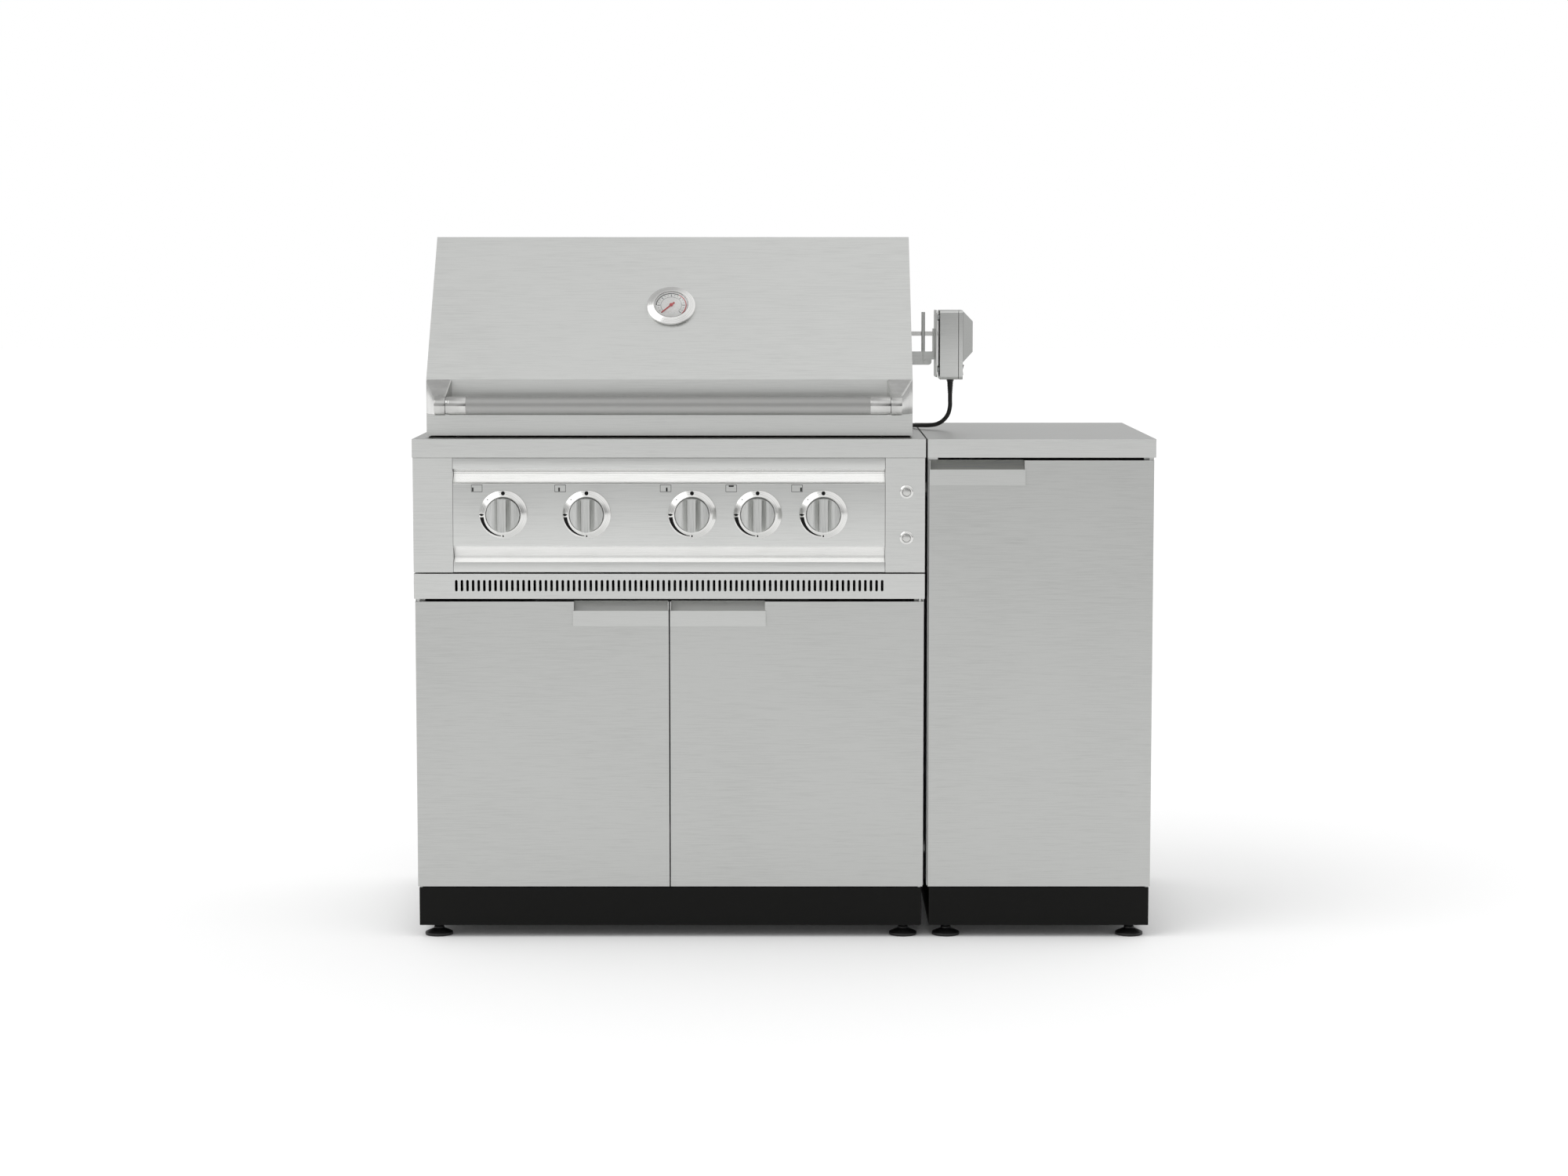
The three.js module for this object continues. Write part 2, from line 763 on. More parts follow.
// Gas manifold with one valve behind each knob, and a riser and a tube burner for each heat tent
const burnerPitch = (knobPlaces.at(-1) - knobPlaces[0]) / (burnerCount - 1);
const burnerPlaces = Array.from({ length: burnerCount }, (_, i) => knobPlaces[0] + i * burnerPitch);
const valveFront = faceFront + sheet + seat;
const riserSetback = fireboxFront - burnerEndGap + riserRadius;
const burnerBack = fireboxBack - sheet - burnerEndGap;
const burner = turned([
  [0, -burnerBack], [burnerRadius - burnerFlare, -burnerBack], [burnerRadius, -burnerBack + burnerFlare],
  [burnerRadius, -riserSetback], [0, -riserSetback]
], 16, 'front');
const manifold = joined(
  bar(
    'x', manifoldRadius, knobPlaces[0] - valveWidth, knobPlaces.at(-1) + valveWidth,
    [manifoldSetback, knobHeight]
  ),
  ...burnerPlaces.map((x) => bar(
    'z', riserRadius, knobHeight, burnerHeight + riserRadius, [x, riserSetback], 8
  )),
  ...burnerPlaces.map((x) => block(
    [x - riserRadius, x + riserRadius],
    [manifoldSetback, riserSetback],
    [knobHeight - riserRadius, knobHeight + riserRadius]
  )),
  ...burnerPlaces.map((x) => burner.translate([x, 0, burnerHeight]))
);
const valveBore = faceFront + stemSeat + stemPush + seat;
const valved = knobPlaces.reduce((whole, x) => cut(
  joined(whole, block(
    [x - valveWidth / 2, x + valveWidth / 2],
    [valveFront, manifoldSetback],
    [knobHeight - valveHeight / 2, knobHeight + valveHeight / 2]
  )),
  bar('y', stemRadius + seat, valveFront - overrun, valveBore, [x, knobHeight], 12)
), manifold);
place(grill, 'gas_manifold', valved, zinc);

// Firebox: a pan with a hopper foot, a rim on the worktop, the hood's stops and the drip tray's rails
const fireboxInner = fireboxHalf - sheet;
const flat = [toX, toY, toZ];
function fireboxBody() {
  const over = flangeTop + overrun;
  const innerDepth = [fireboxFront + sheet, fireboxBack - sheet];
  const shell = cut(
    joined(
      block([-fireboxHalf, fireboxHalf], [fireboxFront, fireboxBack], [fireboxWallFoot, flangeTop]),
      tapered(
        [-drainHalf - sheet, drainHalf + sheet, drainFront - sheet, drainBack + sheet],
        [-fireboxHalf, fireboxHalf, fireboxFront, fireboxBack],
        fireboxFoot, fireboxWallFoot, flat
      )
    ),
    block([-fireboxInner, fireboxInner], innerDepth, [fireboxWallFoot, over]),
    tapered(
      [-drainHalf, drainHalf, drainFront, drainBack],
      [-fireboxInner, fireboxInner, ...innerDepth],
      fireboxFoot, fireboxWallFoot, flat
    ),
    block([-drainHalf, drainHalf], [drainFront, drainBack], [fireboxFoot - overrun, fireboxFoot + overrun])
  );
  const rim = cut(
    block(
      [-wingOuter, wingOuter],
      [hoodFront + sheet * 2, hoodBack - sheet * 2],
      [counterHeight + seat, flangeTop]
    ),
    block([-fireboxInner, fireboxInner], innerDepth, [counterHeight - overrun, over])
  );
  return joined(shell, rim);
}

const bumpers = bumperPlaces.map((x) => bar(
  'z', bumperRadius, flangeTop - sheet / 2, hoodBottom - seat, [x, bumperSetback - bumperRadius], 12
));
const burnerHoles = burnerPlaces.map((x) => bar(
  'y', burnerRadius + seat, fireboxFront - overrun, fireboxFront + overrun, [x, burnerHeight], 16
));
const railPlaces = [-drainHalf - trayOverlap, drainHalf + trayOverlap];
const rails = railPlaces.flatMap((x, i) => {
  const inward = i === 0 ? 1 : -1;
  const web = [x, x - inward * sheet];
  const foot = [x, x + inward * trayRim];
  const low = trayTop - sheet - seat;
  return [
    block(
      [Math.min(...web), Math.max(...web)],
      [drainFront, drainBack],
      [low - sheet, fireboxFoot + railDrop]
    ),
    block([Math.min(...foot), Math.max(...foot)], [drainFront, drainBack], [low - sheet, low])
  ];
});
const firebox = joined(cut(fireboxBody(), ...burnerHoles), ...bumpers, ...rails);
place(grill, 'firebox', firebox, brushedDark);

// Rack in the firebox: a strip on the front and on the back wall with ledges for the burners, the
// heat tents and the grates, joined by the heat tents
const tentShape = (x) => folded([
  [x - tentWidth / 2, tentLedge - sheet / 2],
  [x, tentLedge - sheet / 2 + tentRise],
  [x + tentWidth / 2, tentLedge - sheet / 2]
], -sheet);
const tentEnd = sheet + tentEndGap - ledgeDepth / 2;
const tents = burnerPlaces.map((x) => prismY(tentShape(x), fireboxFront + tentEnd, fireboxBack - tentEnd));
const rackSpan = [seat - fireboxInner, fireboxInner - seat];
const rackFront = fireboxFront + sheet + seat;
const rackBack = fireboxBack - sheet - seat;
const burnerShelf = burnerHeight - burnerRadius - seat;
const ledge = (front, back, top) => block(rackSpan, [front, back], [top - sheet, top]);
const rack = joined(
  block(rackSpan, [rackFront, rackFront + sheet], [tentLedge - sheet, grateLedge]),
  block(rackSpan, [rackBack - sheet, rackBack], [burnerShelf - sheet, grateLedge]),
  ...[tentLedge, grateLedge].flatMap((top) => [
    ledge(rackFront, fireboxFront + sheet + ledgeDepth, top),
    ledge(fireboxBack - sheet - ledgeDepth, rackBack, top)
  ]),
  ledge(burnerBack - ledgeDepth, rackBack, burnerShelf),
  ...tents
);
place(grill, 'firebox_rack', rack, brushedDark);

// A hinge wing on each end of the rim carries the spit and the hood's pin. Its heel stays inside the
// circle that the lower edge of the hood's back swings on.
const rimSeat = flangeTop + seat;
const notchRadius = spitSide * Math.SQRT1_2 + notchGap;
const heelReach = hingeInset - sheet - wingClearance;
function wing(side) {
  const shape = shapeOf([
    [spitSetback - wingFootAhead, rimSeat], [spitSetback - wingTopAhead, rearWallTop],
    [spitSetback + wingTopBehind, rearWallTop],
    [hingeSetback + hingeHeadRadius * 2, hingeHeight + hingeHeadRadius * 2],
    [hingeSetback + hingeHeadRadius * 2, hingeHeight - hingeHeadRadius * 2],
    [hingeSetback - wingHeel, hingeHeight - heelReach],
    [hingeSetback - hingeHeadRadius, rimSeat]
  ]);
  const outer = side * wingOuter;
  const inner = side * (wingOuter - wingThickness);
  const span = [Math.min(outer, inner), Math.max(outer, inner)];
  const notch = joined(
    bar('x', notchRadius, span[0] - overrun, span[1] + overrun, [spitSetback, spitHeight], 16),
    block(
      [span[0] - overrun, span[1] + overrun],
      [spitSetback - notchRadius, spitSetback + notchRadius],
      [spitHeight, rearWallTop + overrun]
    )
  );
  const headStart = hoodHalf + seat;
  const pinEnds = [side * (wingOuter - wingThickness), side * (headStart + hingeHead)];
  const headEnds = [side * headStart, side * (headStart + hingeHead)];
  const hinge = [hingeSetback, hingeHeight];
  const pin = bar('x', hingePinRadius, Math.min(...pinEnds), Math.max(...pinEnds), hinge, 20);
  const head = bar('x', hingeHeadRadius, Math.min(...headEnds), Math.max(...headEnds), hinge, 20);
  return joined(cut(prismX(shape, ...span), notch), pin, head);
}
place(grill, 'hinge_wing_left', wing(-1), brushedDark);
place(grill, 'hinge_wing_right', wing(1), brushedDark);

// Rear wall between the wings, on the rim over the back of the firebox
const rearWallHalf = wingOuter - wingThickness - seat;
const rearWall = block(
  [-rearWallHalf, rearWallHalf],
  [fireboxBack - sheet, fireboxBack],
  [rimSeat, rearWallTop]
);
place(grill, 'rear_wall', rearWall, brushedDark);

// Rear infrared burner on the rear wall
const rearHalf = rearBurnerWidth / 2;
const rearBurnerBack = fireboxBack - sheet - seat;
const rearBurnerFront = rearBurnerBack - rearBurnerDepth;
const rearBurnerTop = rearBurnerBottom + rearBurnerHeight;
const gridPitch = (rearBurnerWidth - rearBurnerFrame * 2) / (rearBurnerBars + 1);
const rearBurner = joined(
  cut(
    block([-rearHalf, rearHalf], [rearBurnerFront, rearBurnerBack], [rearBurnerBottom, rearBurnerTop]),
    block(
      [rearBurnerFrame - rearHalf, rearHalf - rearBurnerFrame],
      [rearBurnerFront - overrun, rearBurnerFront + rearBurnerFrame],
      [rearBurnerBottom + rearBurnerFrame, rearBurnerTop - rearBurnerFrame]
    )
  ),
  ...Array.from({ length: rearBurnerBars }, (_, i) => {
    const x = rearBurnerFrame - rearHalf + (i + 1) * gridPitch;
    return block(
      [x - rearBurnerBar / 2, x + rearBurnerBar / 2],
      [rearBurnerFront, rearBurnerFront + rearBurnerFrame + sheet],
      [rearBurnerBottom + rearBurnerFrame / 2, rearBurnerTop - rearBurnerFrame / 2]
    );
  })
);
place(grill, 'rear_burner', rearBurner, brushedDark);

// Cooking grates side by side on the upper ledges
const grateWidth = (fireboxInner * 2 - grateGap * (grateCount + 1)) / grateCount;
const grateFront = fireboxFront + sheet + grateGap;
const grateBack = fireboxBack - sheet - grateGap;
const grateFoot = grateLedge + seat;
const grateStep = (grateWidth - grateBar) / (grateBars - 1);
const crossPlaces = [grateFront, grateBack - grateCross];
const grate = joined(
  ...Array.from({ length: grateBars }, (_, i) => {
    const x = -grateWidth / 2 + i * grateStep;
    return block([x, x + grateBar], [grateFront, grateBack], [grateFoot, grateFoot + grateThickness]);
  }),
  ...crossPlaces.map((y) => block(
    [-grateWidth / 2, grateWidth / 2], [y, y + grateCross], [grateFoot, grateFoot + grateCross]
  ))
);
['left', 'middle', 'right'].forEach((name, i) => {
  place(grill, `cooking_grate_${name}`, grate, castIron, [(i - 1) * (grateWidth + grateGap), 0, 0]);
});

// Drip tray that hangs by its rim on the rails under the hopper
const trayOuter = drainHalf + trayOverlap - seat * 2 - sheet;
const trayInner = trayOuter - trayRim + sheet;
const trayFront = drainFront;
const trayBack = drainBack;
const dripTray = cut(
  joined(
    block([-trayOuter, trayOuter], [trayFront, trayBack], [trayTop - sheet, trayTop]),
    block([-trayInner, trayInner], [trayFront, trayBack], [trayTop - trayHeight, trayTop])
  ),
  block(
    [sheet - trayInner, trayInner - sheet],
    [trayFront + sheet, trayBack - sheet],
    [trayTop - trayHeight + sheet, trayTop + overrun]
  )
);
place(grill, 'drip_tray', dripTray, zinc);

// Hood: folded skin and two end walls. The right end wall has an arc slot for the spit.
const slopeTop = hoodFront + hoodSlopeDepth;
const roofBack = slopeTop + hoodRoofDepth;
const hoodSkinPath = [
  [hoodFront + hoodHem, hoodBottom], [hoodFront, hoodBottom], [hoodFront, hoodBandTop], [slopeTop, hoodTop],
  [roofBack, hoodTop], [hoodBack, hoodTop - hoodShoulderDrop], [hoodBack, hoodTail]
];
const slopeAngle = Math.atan2(hoodTop - hoodBandTop, hoodSlopeDepth);
const dialSetback = hoodFront + hoodSlopeDepth / 2;
const dialHeight = (hoodBandTop + hoodTop) / 2;

function hoodEnd(side) {
  const shape = new THREE.Shape();
  shape.moveTo(hoodFront, hoodBottom);
  shape.lineTo(hoodFront, hoodBandTop);
  shape.lineTo(slopeTop, hoodTop);
  shape.lineTo(roofBack, hoodTop);
  shape.lineTo(hoodBack, hoodTop - hoodShoulderDrop);
  const swingRadius = hingeHeight - hoodBottom - hoodSwingGap;
  const swingStart = -Math.acos((hoodBack - hingeSetback) / swingRadius);
  shape.absarc(hingeSetback, hingeHeight, swingRadius, swingStart, -Math.PI / 2, true);
  shape.lineTo(hingeSetback, hoodBottom);
  const outer = side * hoodHalf;
  const inner = side * (hoodHalf - sheet);
  const span = [Math.min(outer, inner), Math.max(outer, inner)];
  const hinge = [hingeSetback, hingeHeight];
  const hole = bar('x', hingePinRadius + seat, span[0] - overrun, span[1] + overrun, hinge, 16);
  return cut(prismX(shape, ...span, 4), hole);
}

// The slot follows the spit's way in the hood's own frame, round the hinge and out at the bottom edge
function spitSlot() {
  const away = spitSetback - hingeSetback;
  const above = spitHeight - hingeHeight;
  const radius = Math.hypot(away, above);
  const start = Math.atan2(above, away);
  const end = Math.PI + Math.asin((hingeHeight - hoodBottom) / radius) + spitSlotEndShare * Math.PI;
  const shape = new THREE.Shape();
  const half = spitSlotWidth / 2;
  shape.absarc(hingeSetback, hingeHeight, radius + half, start, end, false);
  shape.absarc(hingeSetback, hingeHeight, radius - half, end, start, true);
  const through = [hoodHalf - sheet - overrun, hoodHalf + overrun];
  return joined(prismX(shape, ...through, 8), bar('x', half, ...through, [spitSetback, spitHeight], 20));
}

const dialHoleTool = new THREE.CylinderGeometry(probeRadius + seat, probeRadius + seat, overrun * 4, 20);
dialHoleTool.rotateX(slopeAngle);
dialHoleTool.translate(0, dialSetback, dialHeight);
const hood = cut(
  joined(
    prismX(folded(hoodSkinPath, -sheet), sheet / 2 - hoodHalf, hoodHalf - sheet / 2),
    hoodEnd(-1),
    hoodEnd(1)
  ),
  spitSlot(),
  solid(dialHoleTool)
);
place(grill, 'hood', hood, brushed);

// Handle bar and the two cast brackets that carry it on the hood
const handleLine = [handleSetback, handleHeight];
const handleBar = bar('x', handleRadius, seat - bossInner, bossInner - seat, handleLine, 28);
place(grill, 'handle_bar', handleBar, brushed);
function handleBracket(side) {
  const spread = (low, high) => [Math.min(side * low, side * high), Math.max(side * low, side * high)];
  const boss = bar('x', bossRadius, ...spread(bossInner, bossOuter), handleLine, 28);
  const arm = tapered(
    [...spread(bossInner, bossOuter), -handleHeight - bossRadius, bossRadius - handleHeight],
    [...spread(bracketInner, hoodHalf), -hoodBandTop, -bracketFoot],
    handleSetback, hoodFront - seat, [toX, toZ.clone().negate(), toY]
  );
  const barSpan = spread(bracketInner - overrun, bossInner);
  const barRoom = bar('x', handleRadius + seat, ...barSpan, handleLine, 28);
  return cut(joined(boss, arm), barRoom);
}
place(grill, 'handle_bracket_left', handleBracket(-1), brushed);
place(grill, 'handle_bracket_right', handleBracket(1), brushed);

// Thermometer on the slope of the hood; its own frame has +Z along the slope's outward normal
const dial = new THREE.Group();
dial.position.set(0, dialSetback, dialHeight);
dial.rotation.x = slopeAngle;
grill.add(dial);
const dialCase = turned([
  [0, -probeLength], [probeRadius, -probeLength], [probeRadius, seat], [dialRadius, seat],
  [dialRadius, dialRim], [dialBore + sheet, dialRise], [dialBore, dialRise], [dialBore, dialFace],
  [0, dialFace]
], 22, 'up');
place(dial, 'thermometer_case', dialCase, polished);
const needleBody = joined(
  solid(extruded(shapeOf([
    [-needleWidth / 2, -needleTail], [needleWidth / 2, -needleTail], [sheet / 2, needleLength],
    [-sheet / 2, needleLength]
  ]), needleThickness, 1)),
  bar('z', needleHub, 0, needleThickness * 2, [0, 0], 16)
);
const needle = place(dial, 'thermometer_needle', needleBody, redPaint, [0, 0, dialFace + seat]);
needle.rotation.z = needleRestTurn;
const glassFoot = dialFace + needleThickness * 2 + seat * 2;
const glass = bar('z', dialBore - seat, glassFoot, glassFoot + glassThickness, [0, 0], 22);
place(dial, 'thermometer_glass', glass, clearGlass);

// Doors of the grill cabinet
const grillDoorWidth = grillDoorHalf - doorMeetingGap / 2;
const grillDoorHeight = grillDoorTop - doorFoot;
const headReach = ventStripBottom - grillDoorTop + sheet + pinReach;
const footReach = doorFootGap + sheet + pinReach;
[['door_left', -1], ['door_right', 1]].forEach(([name, side]) => {
  const middle = side * (grillDoorHalf - grillDoorWidth / 2);
  const body = door(grillDoorWidth, grillDoorHeight, side, headReach, footReach);
  place(grill, name, body, brushed, [middle, doorFront, doorFoot]);
});

// Storage cabinet
const storeHalf = storeWidth / 2 - bodyInset;
const storeDoorHalf = storeHalf - doorSideInset;
const storePin = storeDoorHalf - pinInset;
const storeDoorTop = counterUnderside - storeDoorHeadGap;
place(store, 'store_plinth', cut(plinth(storeHalf), plinthHole(storePin)), blackPaint);
function storeSide(side) {
  const far = side * (storeHalf - shelfLedge);
  const near = side * (storeHalf - sheet / 2);
  return joined(sidePanel(storeHalf, side), block(
    [Math.min(far, near), Math.max(far, near)],
    [carcassFront + shelfFrontInset, carcassBack - shelfFrontInset],
    [shelfHeight - sheet, shelfHeight]
  ));
}

// The storage cabinet is bolted to the grill cabinet through four round spacers
const spacerEnds = [-storeHalf - moduleGap - bodyInset * 2 + seat, -storeHalf + sheet / 2];
const spacers = [carcassFront + spacerInset, carcassBack - spacerInset].flatMap((y) =>
  [plinthTop + spacerInset, carcassTop - spacerInset].map((z) => bar(
    'x', spacerRadius, ...spacerEnds, [y, z], 12
  )));
place(store, 'store_side_left', joined(storeSide(-1), ...spacers), brushed);
place(store, 'store_side_right', storeSide(1), brushed);
place(store, 'store_floor', floorPan(storeHalf), brushedDark);
place(store, 'store_back', backPanel(storeHalf, 0, 0), brushedDark);
const storeCounter = cut(
  counter(storeWidth),
  pinHole(storePin, counterUnderside - overrun, counterUnderside + overrun)
);
place(store, 'store_counter', storeCounter, brushed);
const shelfHalf = storeHalf - sheet - seat;
const shelfFront = carcassFront + shelfFrontInset;
const shelfBack = carcassBack - sheet * 2 - seat * 2;
const shelf = joined(
  block([-shelfHalf, shelfHalf], [shelfFront, shelfBack], [shelfHeight + seat, shelfHeight + seat + sheet]),
  block(
    [shelfLedge + seat - storeHalf, storeHalf - shelfLedge - seat],
    [shelfFront, shelfFront + sheet],
    [shelfHeight + seat - shelfEdge, shelfHeight + seat + sheet]
  )
);
place(store, 'store_shelf', shelf, brushedDark);
const storeHeadReach = storeDoorHeadGap + sheet + pinReach;
const storeDoor = door(storeDoorHalf * 2, storeDoorTop - doorFoot, 1, storeHeadReach, footReach);
place(store, 'store_door', storeDoor, brushed, [0, doorFront, doorFoot]);

// Spit: a square rod with two forks, through the wings, the hood's slot and the bracket to the motor
const spitHalf = spitSide / 2;
const fork = (x, towards) => {
  const collarEnd = x + towards * forkCollarLength;
  const prongEnd = collarEnd + towards * forkReach;
  const around = [[0, 1], [0, -1], [1, 0], [-1, 0]];
  const spokes = [
    block(
      [Math.min(x, collarEnd), Math.max(x, collarEnd)],
      [-forkSpread - forkProng, forkSpread + forkProng], [-forkProng, forkProng]
    ),
    block(
      [Math.min(x, collarEnd), Math.max(x, collarEnd)],
      [-forkProng, forkProng], [-forkSpread - forkProng, forkSpread + forkProng]
    )
  ];
  const prongs = around.map(([v, w]) => bar(
    'x', forkProng, Math.min(x, prongEnd), Math.max(x, prongEnd), [v * forkSpread, w * forkSpread], 6
  ));
  const collar = bar('x', forkCollar, Math.min(x, collarEnd), Math.max(x, collarEnd), [0, 0], 20);
  return joined(collar, ...spokes, ...prongs);
};
const spit = joined(
  block([-wingOuter - notchGap, spitEnd], [-spitHalf, spitHalf], [-spitHalf, spitHalf]),
  fork(forkPlaces[0], 1),
  fork(forkPlaces[1], -1)
);
place(grill, 'spit_rod', spit, brushed, [0, spitSetback, spitHeight]);

// Motor bracket: plate beside the hood, arm, tab in front of the motor, post and bolt
const plateInner = hoodHalf + bracketPlateGap;
const plateOuter = plateInner + bracketPlate;
const plateSpan = [spitSetback - bracketPlateAhead, spitSetback + bracketPlateBehind];
const armSetback = spitSetback - armAhead;
const armBack = armSetback + bracketPlate * 2;
const tabInner = armEnd - tabThickness + seat;
const armShape = new THREE.Shape();
armShape.moveTo(plateInner, armTop);
armShape.lineTo(plateInner, armTop - armHeight);
armShape.lineTo(armEnd - armCorner * 2, armTop - armHeight);
armShape.absarc(armEnd - armCorner * 2, armTop - armHeight + armCorner, armCorner, -Math.PI / 2, 0);
armShape.lineTo(armEnd - armCorner, armTop);
const motorBracket = cut(
  joined(
    block([plateInner, plateOuter], plateSpan, [counterHeight + seat, armTop]),
    block(
      [plateInner, plateInner + bracketFootWidth],
      plateSpan,
      [counterHeight + seat, counterHeight + seat + bracketPlate]
    ),
    prismY(armShape, armSetback + bracketPlate, armBack, 3),
    block([plateInner, armEnd], [armSetback, armSetback + bracketPlate], [armTop - armFaceHeight, armTop]),
    bar(
      'y', armBoltRadius, armSetback + bracketPlate - armBoltLength, armBack,
      [armBoltPlace, armTop - armHeight + armBoltRadius], 6
    ),
    bar('z', postRadius, armTop - armFaceHeight, postTop, [postPlace, armSetback + bracketPlate], 14),
    block([tabInner, armEnd], [armSetback, armSetback + tabDepth], [armTop - armFaceHeight, tabTop])
  ),
  bar('x', spitHole, tabInner - overrun, armEnd + overrun, [spitSetback, spitHeight], 20)
);
place(grill, 'motor_bracket', motorBracket, brushed);

// Motor: back plate with spacer bosses, case, chamfered cover, rocker switch and cord gland
const backPlateInner = armEnd + seat;
const backPlateOuter = backPlateInner + backPlateThickness;
const caseInner = backPlateOuter + motorBossLength + seat;
const caseOuter = caseInner + motorCaseWidth;
const motorFront = spitSetback - motorReach;
const motorBack = spitSetback + motorReach;
const motorSpan = [motorFront, motorBack];
const motorBosses = [motorFront + motorBossInset, motorBack - motorBossInset].flatMap((y) =>
  [backPlateBottom + motorBossInset, motorTop - motorBossInset].map((z) => bar(
    'x', motorBossRadius, backPlateOuter - sheet, backPlateOuter + motorBossLength, [y, z], 10
  )));
const backPlate = cut(
  joined(
    prismX(
      roundedRect(motorSpan, [backPlateBottom, motorTop], motorCorner),
      backPlateInner, backPlateOuter, 4
    ),
    ...motorBosses
  ),
  bar('x', spitHole, backPlateInner - overrun, backPlateOuter + overrun, [spitSetback, spitHeight], 20)
);
place(grill, 'motor_back_plate', backPlate, brushed);

const glandPlace = [(caseInner + caseOuter) / 2, spitSetback];
const rockerSpan = [spitSetback - rockerHalfWidth, spitSetback + rockerHalfWidth];
const motorCase = cut(
  joined(
    prismX(roundedRect(motorSpan, [motorBottom, motorTop], motorCorner), caseInner, caseOuter, 4),
    bar('z', glandRadius, motorBottom - glandLength, motorBottom + overrun, glandPlace, 20)
  ),
  bar('x', spitHole, caseInner - overrun, spitEnd + seat, [spitSetback, spitHeight], 20),
  block(
    [caseOuter - rockerPocket, caseOuter + overrun],
    [rockerSpan[0] - seat, rockerSpan[1] + seat],
    [rockerMiddle - rockerHeight / 2 - seat, rockerMiddle + rockerHeight / 2 + seat]
  )
);
place(grill, 'motor_case', motorCase, brushed);
const chamfer = coverWidth;
const motorCover = tapered(
  [motorFront + coverEdgeInset, motorBack - coverEdgeInset, coverBottom, coverTop],
  [
    motorFront + coverEdgeInset + chamfer, motorBack - coverEdgeInset - chamfer,
    coverBottom + chamfer, coverTop - chamfer
  ],
  caseOuter + seat, caseOuter + seat + coverWidth, [toY, toZ, toX]
);
place(grill, 'motor_cover', motorCover, brushedDark);

const rockerShape = shapeOf([
  [-rockerDepth, -rockerHeight / 2 + sheet], [rockerProud, -rockerHeight / 2 + sheet], [rockerProud / 2, 0],
  [rockerProud, rockerHeight / 2 - sheet], [-rockerDepth, rockerHeight / 2 - sheet]
]);
const rocker = place(
  grill, 'motor_switch', prismY(rockerShape, -rockerHalfWidth + seat, rockerHalfWidth - seat), rubber,
  [caseOuter, spitSetback, rockerMiddle]
);
rocker.rotation.y = rockerTilt;

// Strain relief under the gland
const reliefTop = motorBottom - glandLength - seat;
const relief = turned([
  [0, -reliefLength], [cordRadius + seat * 2, -reliefLength], [reliefRadius, 0], [0, 0]
], 20, 'up');
place(grill, 'cord_relief', relief, rubber, [...glandPlace, reliefTop]);

// Mains cord, first stretch: down from the relief, along the worktop and round the back of the hood
const cordLow = counterHeight + seat + cordRadius;
const cordTop = reliefTop - reliefLength - seat;
const cordEntry = [coilCentre[0] + coilEndStraight + seat, coilCentre[1] - coilMiddleRadius - coilTurnPitch];
const cordRoute = [
  [...glandPlace, cordTop],
  [...glandPlace, 955],
  [...glandPlace, 944],
  [512.5, 331.5, 929],
  [504, 335.5, 917],
  [492.5, 341.5, 909.6],
  [478.5, 350.5, 906.7],
  [465, 364, 905.9],
  [455.5, 381, 905.1],
  [449, 401, 904.2],
  [446, 423, cordLow],
  [446, 445, cordLow],
  [441.9, 466, cordLow],
  [429.9, 483.9, cordLow],
  [412, 495.8, cordLow],
  [391, cordEntry[1], cordLow],
  [370, cordEntry[1], cordLow],
  [cordEntry[0] + coilEndStraight, cordEntry[1], cordLow],
  [...cordEntry, cordLow]
];
const cordCurve = new THREE.CatmullRomCurve3(cordRoute.map((point) => new THREE.Vector3(...point)));
const cordSection = new THREE.Shape();
cordSection.absarc(0, 0, cordRadius, 0, Math.PI * 2);
const cordRunLength = cordCurve.getLength();
const cordRun = new THREE.ExtrudeGeometry(cordSection, {
  curveSegments: cordSides / 2,
  steps: Math.round(cordRunLength / cordStep),
  extrudePath: cordCurve
});
place(grill, 'cord_run', solid(cordRun), rubber);

// Mains cord, the coil: two turns in on the worktop, a half turn up, one and a half turns out above
// them, and a short tail down to the plug. It is one tube, swept along points from this formula.
function coilPoints() {
  const outer = coilMiddleRadius + coilTurnPitch;
  const inner = outer - coilTurnsIn * coilTurnPitch;
  const turns = coilTurnsIn + coilTurnsClimb + coilTurnsOut;
  const last = inner + coilTurnsOut * coilTurnPitch;
  const points = [[coilCentre[0] + coilEndStraight, coilCentre[1] - outer, cordLow]];
  for (let i = 0; i <= turns * coilLoopSteps; i++) {
    const turn = i / coilLoopSteps;
    const out = Math.max(turn - coilTurnsIn - coilTurnsClimb, 0);
    const radius = turn < coilTurnsIn ? outer - turn * coilTurnPitch : inner + out * coilTurnPitch;
    const climb = THREE.MathUtils.clamp((turn - coilTurnsIn) / coilTurnsClimb, 0, 1);
    const angle = -Math.PI / 2 - turn * Math.PI * 2;
    points.push([
      coilCentre[0] + radius * Math.cos(angle),
      coilCentre[1] + radius * Math.sin(angle),
      cordLow + climb * coilLayerPitch
    ]);
  }
  for (let i = 0; i <= tailSteps; i++) {
    const share = i / tailSteps;
    const fall = THREE.MathUtils.smoothstep(share, 0, 1) * (cordLow + coilLayerPitch - plugMiddle);
    const x = coilCentre[0] - tailLevel - share * tailFall;
    points.push([x, coilCentre[1] - last, cordLow + coilLayerPitch - fall]);
  }
  points.push([coilCentre[0] - tailLevel - tailFall - coilEndStraight, coilCentre[1] - last, plugMiddle]);
  return points.map((point) => new THREE.Vector3(...point));
}

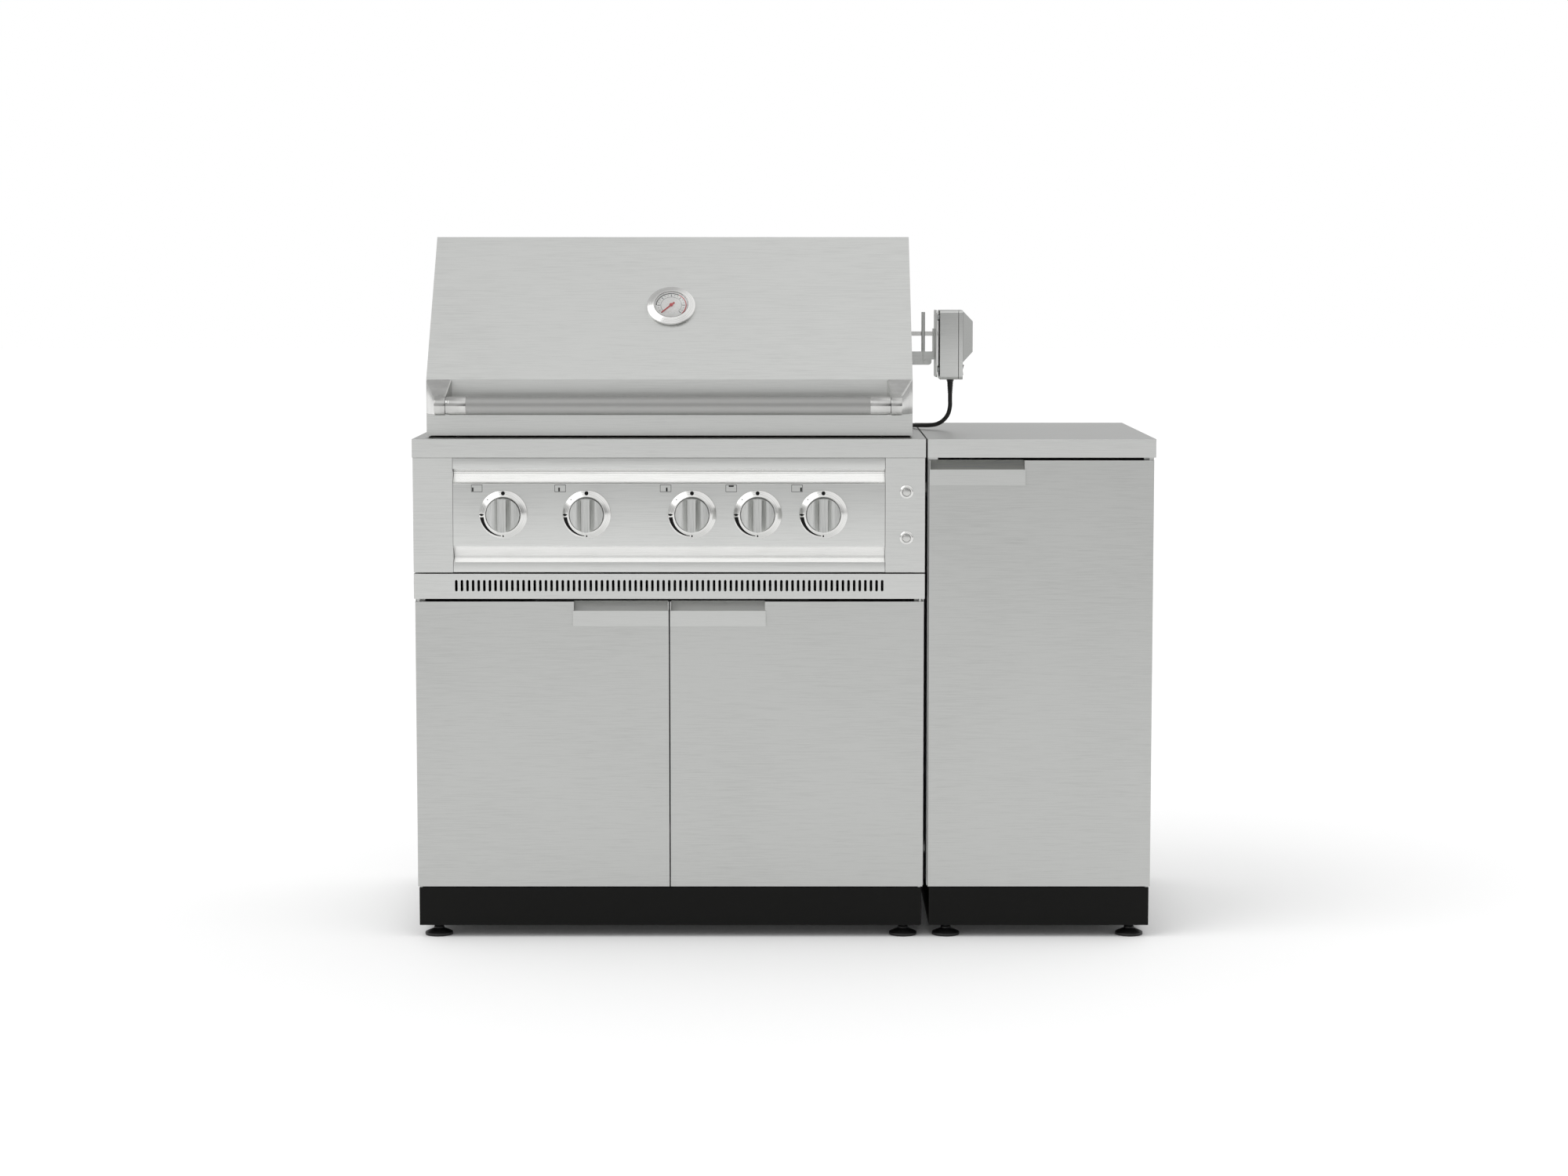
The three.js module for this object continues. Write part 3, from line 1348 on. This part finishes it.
// A closed tube of flat-topped hexagonal section along points that lie nearly level
function levelTube(points, radius, sides) {
  const corners = [];
  const faces = [];
  points.forEach((point, i) => {
    const ahead = points[Math.min(i + 1, points.length - 1)];
    const behind = points[Math.max(i - 1, 0)];
    const heading = ahead.clone().sub(behind).normalize();
    const across = new THREE.Vector3().crossVectors(heading, toZ).normalize();
    const upward = new THREE.Vector3().crossVectors(across, heading);
    for (let j = 0; j < sides; j++) {
      const angle = j / sides * Math.PI * 2;
      const offset = across.clone().multiplyScalar(Math.cos(angle)).addScaledVector(upward, Math.sin(angle));
      corners.push(...point.clone().addScaledVector(offset, radius).toArray());
    }
    if (i === 0) return;
    for (let j = 0; j < sides; j++) {
      const a = (i - 1) * sides + j;
      const b = (i - 1) * sides + (j + 1) % sides;
      faces.push(a, b, b + sides, a, b + sides, a + sides);
    }
  });
  const end = (points.length - 1) * sides;
  for (let j = 1; j < sides - 1; j++) faces.push(0, j + 1, j, end, end + j, end + j + 1);
  const geometry = new THREE.BufferGeometry();
  geometry.setAttribute('position', new THREE.Float32BufferAttribute(corners, 3));
  geometry.setIndex(faces);
  return geometry;
}

const plugMiddle = counterHeight + seat + plugHeight / 2;
const coilRoute = coilPoints();
place(grill, 'cord_coil', solid(levelTube(coilRoute, cordRadius, coilSides)), rubber);

// The coil's least gap to itself, between points more than half a turn apart along it
const coilPath = new THREE.CatmullRomCurve3(coilRoute);
const coilLength = coilPath.getLength();
const gapPoints = coilPath.getSpacedPoints(Math.round(coilLength / cordRadius));
const nearLap = Math.round(Math.PI * (coilMiddleRadius - coilTurnPitch) / cordRadius);
const coilGap = Math.min(...gapPoints.flatMap((point, i) =>
  gapPoints.slice(i + nearLap).map((other) => point.distanceTo(other) - cordRadius * 2)
));
console.log(`coil least gap to itself ${coilGap.toFixed(2)} mm`);
console.log(`cord length ${(cordRunLength + coilLength).toFixed(0)} mm, coil ${coilLength.toFixed(0)} mm`);

// Plug that lies on the worktop at the end of the tail, blades to the left
const plugStart = coilCentre[0] - tailLevel - tailFall - coilEndStraight - seat;
const plugY = coilRoute.at(-1).y;
const noseEnd = plugStart - plugNose;
const bodyEnd = noseEnd - plugLength;
const plugSection = roundedRect(
  [plugY - plugWidth / 2, plugY + plugWidth / 2],
  [plugMiddle - plugHeight / 2, plugMiddle + plugHeight / 2],
  sheet * 2
);
const blade = (offset) => block(
  [bodyEnd - bladeLength, bodyEnd + overrun],
  [plugY + offset - bladeThickness / 2, plugY + offset + bladeThickness / 2],
  [plugMiddle - bladeWidth / 2, plugMiddle + bladeWidth / 2]
);
const noseRadius = cordRadius + sheet;
const plug = joined(
  prismX(plugSection, bodyEnd, noseEnd, 3),
  tapered(
    [
      plugY - plugWidth / 2 + sheet, plugY + plugWidth / 2 - sheet,
      plugMiddle - noseRadius - sheet, plugMiddle + noseRadius + sheet
    ],
    [plugY - noseRadius, plugY + noseRadius, plugMiddle - noseRadius, plugMiddle + noseRadius],
    noseEnd - sheet, plugStart, [toY, toZ, toX]
  ),
  blade(-bladeSpread / 2),
  blade(bladeSpread / 2),
  bar(
    'x', (bladeWidth - sheet) / 2, bodyEnd - bladeLength, bodyEnd + overrun,
    [plugY, plugMiddle + bladeWidth], 10
  )
);
place(grill, 'plug', plug, rubber);

export default island;
